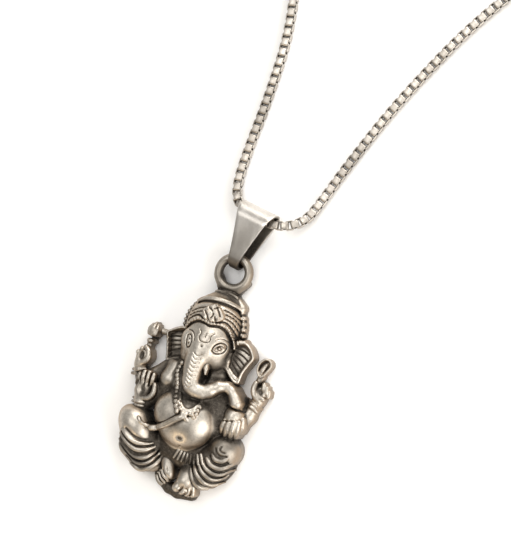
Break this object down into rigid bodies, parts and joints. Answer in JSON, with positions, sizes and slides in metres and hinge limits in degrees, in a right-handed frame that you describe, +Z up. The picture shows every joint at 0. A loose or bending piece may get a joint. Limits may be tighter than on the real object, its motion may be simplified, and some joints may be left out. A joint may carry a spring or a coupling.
{
  "type": "ganesha pendant necklace",
  "caption": "Cast elephant-headed seated figure pendant on a tapered fold-over bail and a fine box chain, lying flat on its back.",
  "frame": {"origin": "middle of the figure's flat back, on the surface that the necklace lies on", "axes": "+Z up out of the surface, through the figure's front; +Y from the figure's feet to its crown and the chain; +X to the viewer's right"},
  "size_m": [0.1034, 0.2266, 0.008],
  "materials": {
    "oxidised_silver": "cast silver, darkened in the recesses and rubbed bright on the high places",
    "bright_silver": "polished silver with fine wear",
    "chain_silver": "polished silver links"
  },
  "bodies": {
    "root": {"figure": "oxidised_silver", "bail": "bright_silver", "chain_left": "chain_silver", "chain_right": "chain_silver", "clasp": "bright_silver"}
  },
  "joints": []
}
